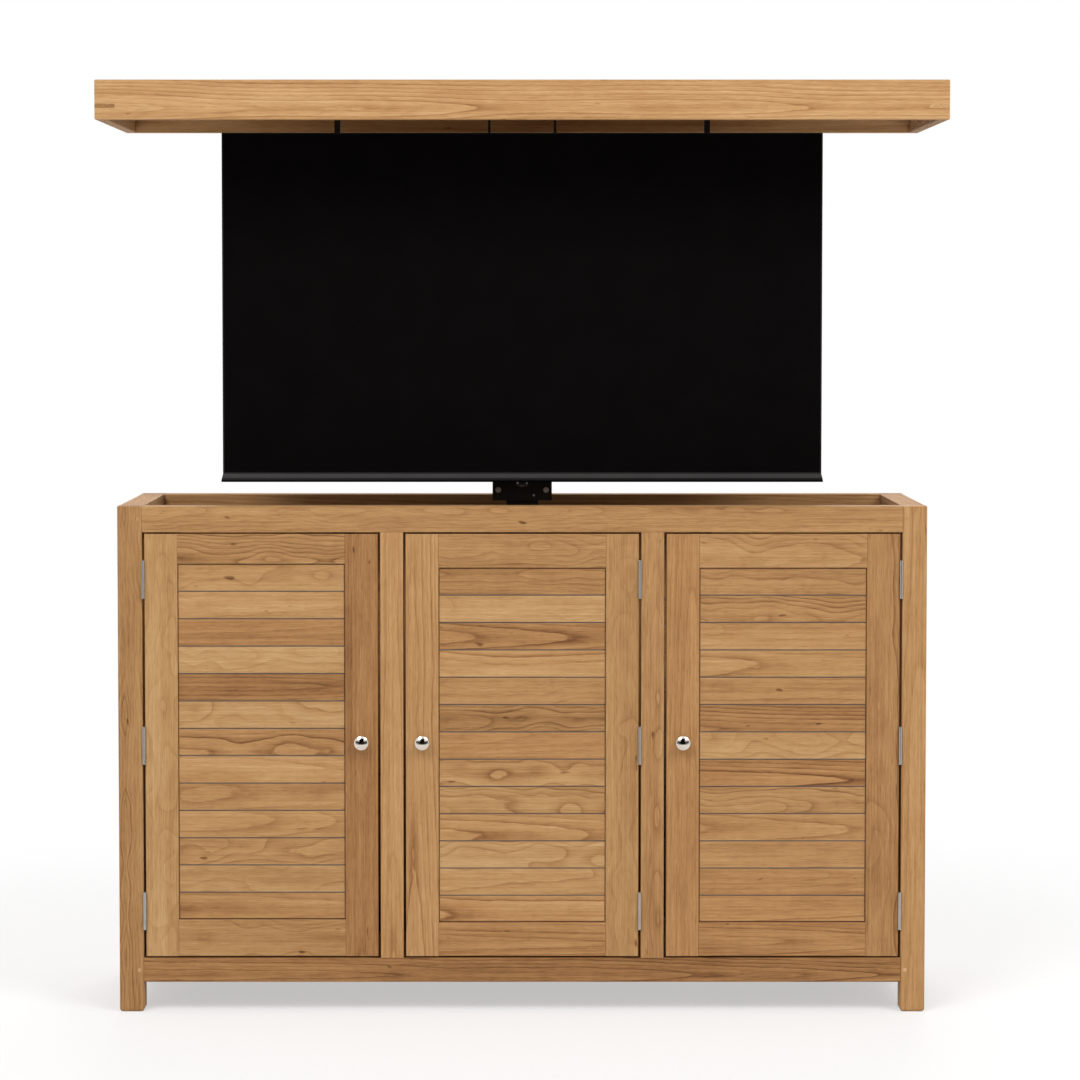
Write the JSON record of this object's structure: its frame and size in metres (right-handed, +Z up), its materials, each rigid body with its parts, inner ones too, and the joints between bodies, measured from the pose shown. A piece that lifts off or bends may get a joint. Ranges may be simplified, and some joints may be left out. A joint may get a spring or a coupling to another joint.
{
  "type": "tv lift cabinet",
  "caption": "Slatted teak cabinet with hinged doors on a raised leg frame; its overhanging lid and a flat television rise together on a telescopic lift column.",
  "frame": {"origin": "on the floor under the middle of the cabinet", "axes": "+X to the right seen from the front, +Y from the doors to the back, +Z up"},
  "size_m": [1.697, 0.572, 1.8728],
  "materials": {
    "teak": "oiled, satin",
    "hinge_steel": "satin",
    "polished_chrome": "polished",
    "black_steel": "satin powder coat",
    "bright_steel": "turned",
    "black_plastic": "matt",
    "grey_plastic": "matt",
    "screen": "gloss",
    "chin_trim": "satin"
  },
  "bodies": {
    "cabinet": {"front_posts": "teak", "rear_posts": "teak", "front_top_rail": "teak", "front_bottom_rail": "teak", "rear_rails": "teak", "side_rails": "teak", "front_mullions": "teak", "rear_mullions": "teak", "side_slats": "teak", "back_slats": "teak", "joint_pegs": "teak", "floor_boards": "teak", "floor_bearers": "teak", "door_catches": "black_plastic", "frame_hinge_leaves": "hinge_steel", "hinge_pins": "hinge_steel", "lift_base_plate": "black_steel", "lift_gearbox": "black_steel", "lift_motor": "black_steel", "lift_control_box": "black_plastic", "lift_outer_tube": "black_steel", "outer_tube_glides": "black_plastic", "lower_spindle": "bright_steel"},
    "left_door": {"left_door_stiles": "teak", "left_door_rails": "teak", "left_door_slats": "teak", "left_door_knob": "polished_chrome", "left_door_hinge_leaves": "hinge_steel"},
    "centre_door": {"centre_door_stiles": "teak", "centre_door_rails": "teak", "centre_door_slats": "teak", "centre_door_knob": "polished_chrome", "centre_door_hinge_leaves": "hinge_steel"},
    "right_door": {"right_door_stiles": "teak", "right_door_rails": "teak", "right_door_slats": "teak", "right_door_knob": "polished_chrome", "right_door_hinge_leaves": "hinge_steel"},
    "middle_stage": {"upper_spindle": "bright_steel", "lift_middle_tube": "black_steel", "middle_tube_fittings": "bright_steel"},
    "carriage": {"lift_inner_tube": "black_steel", "inner_tube_fittings": "bright_steel", "lift_head": "black_steel", "tv_mount_plate": "black_steel", "tv_bracket": "black_steel", "lid_crossbar": "black_steel", "lid_uprights": "black_steel", "tv_screen": "screen", "tv_bezel": "black_plastic", "tv_rear_cover": "black_plastic", "tv_chin": "chin_trim", "tv_sensor_pod": "black_plastic", "lid_long_rails": "teak", "lid_side_rails": "teak", "lid_top_boards": "teak", "lid_battens": "teak", "lid_corner_keys": "teak"},
    "power_button": {"tv_power_button": "grey_plastic"}
  },
  "joints": [
    {"name": "left_door_hinge", "type": "hinge", "parent": "cabinet", "child": "left_door", "pos_m": [-0.761, -0.2524, 0.5], "axis": [0, 0, -1], "range_deg": [0, 170]},
    {"name": "centre_door_hinge", "type": "hinge", "parent": "cabinet", "child": "centre_door", "pos_m": [0.23667, -0.2524, 0.5], "axis": [0, 0, 1], "range_deg": [0, 150]},
    {"name": "right_door_hinge", "type": "hinge", "parent": "cabinet", "child": "right_door", "pos_m": [0.761, -0.2524, 0.5], "axis": [0, 0, 1], "range_deg": [0, 170]},
    {"name": "middle_stage_slide", "type": "slide", "parent": "cabinet", "child": "middle_stage", "axis": [0, 0, 1], "range_m": [-0.4064, 0]},
    {"name": "carriage_slide", "type": "slide", "parent": "middle_stage", "child": "carriage", "axis": [0, 0, 1], "range_m": [-0.4064, 0]},
    {"name": "power_button_press", "type": "slide", "parent": "carriage", "child": "power_button", "axis": [0, 0, 1], "range_m": [0, 0.001], "stiffness_N_per_m": 500}
  ],
  "couplings": [
    {"joint": "carriage_slide", "follows": "middle_stage_slide", "ratio": 1}
  ]
}
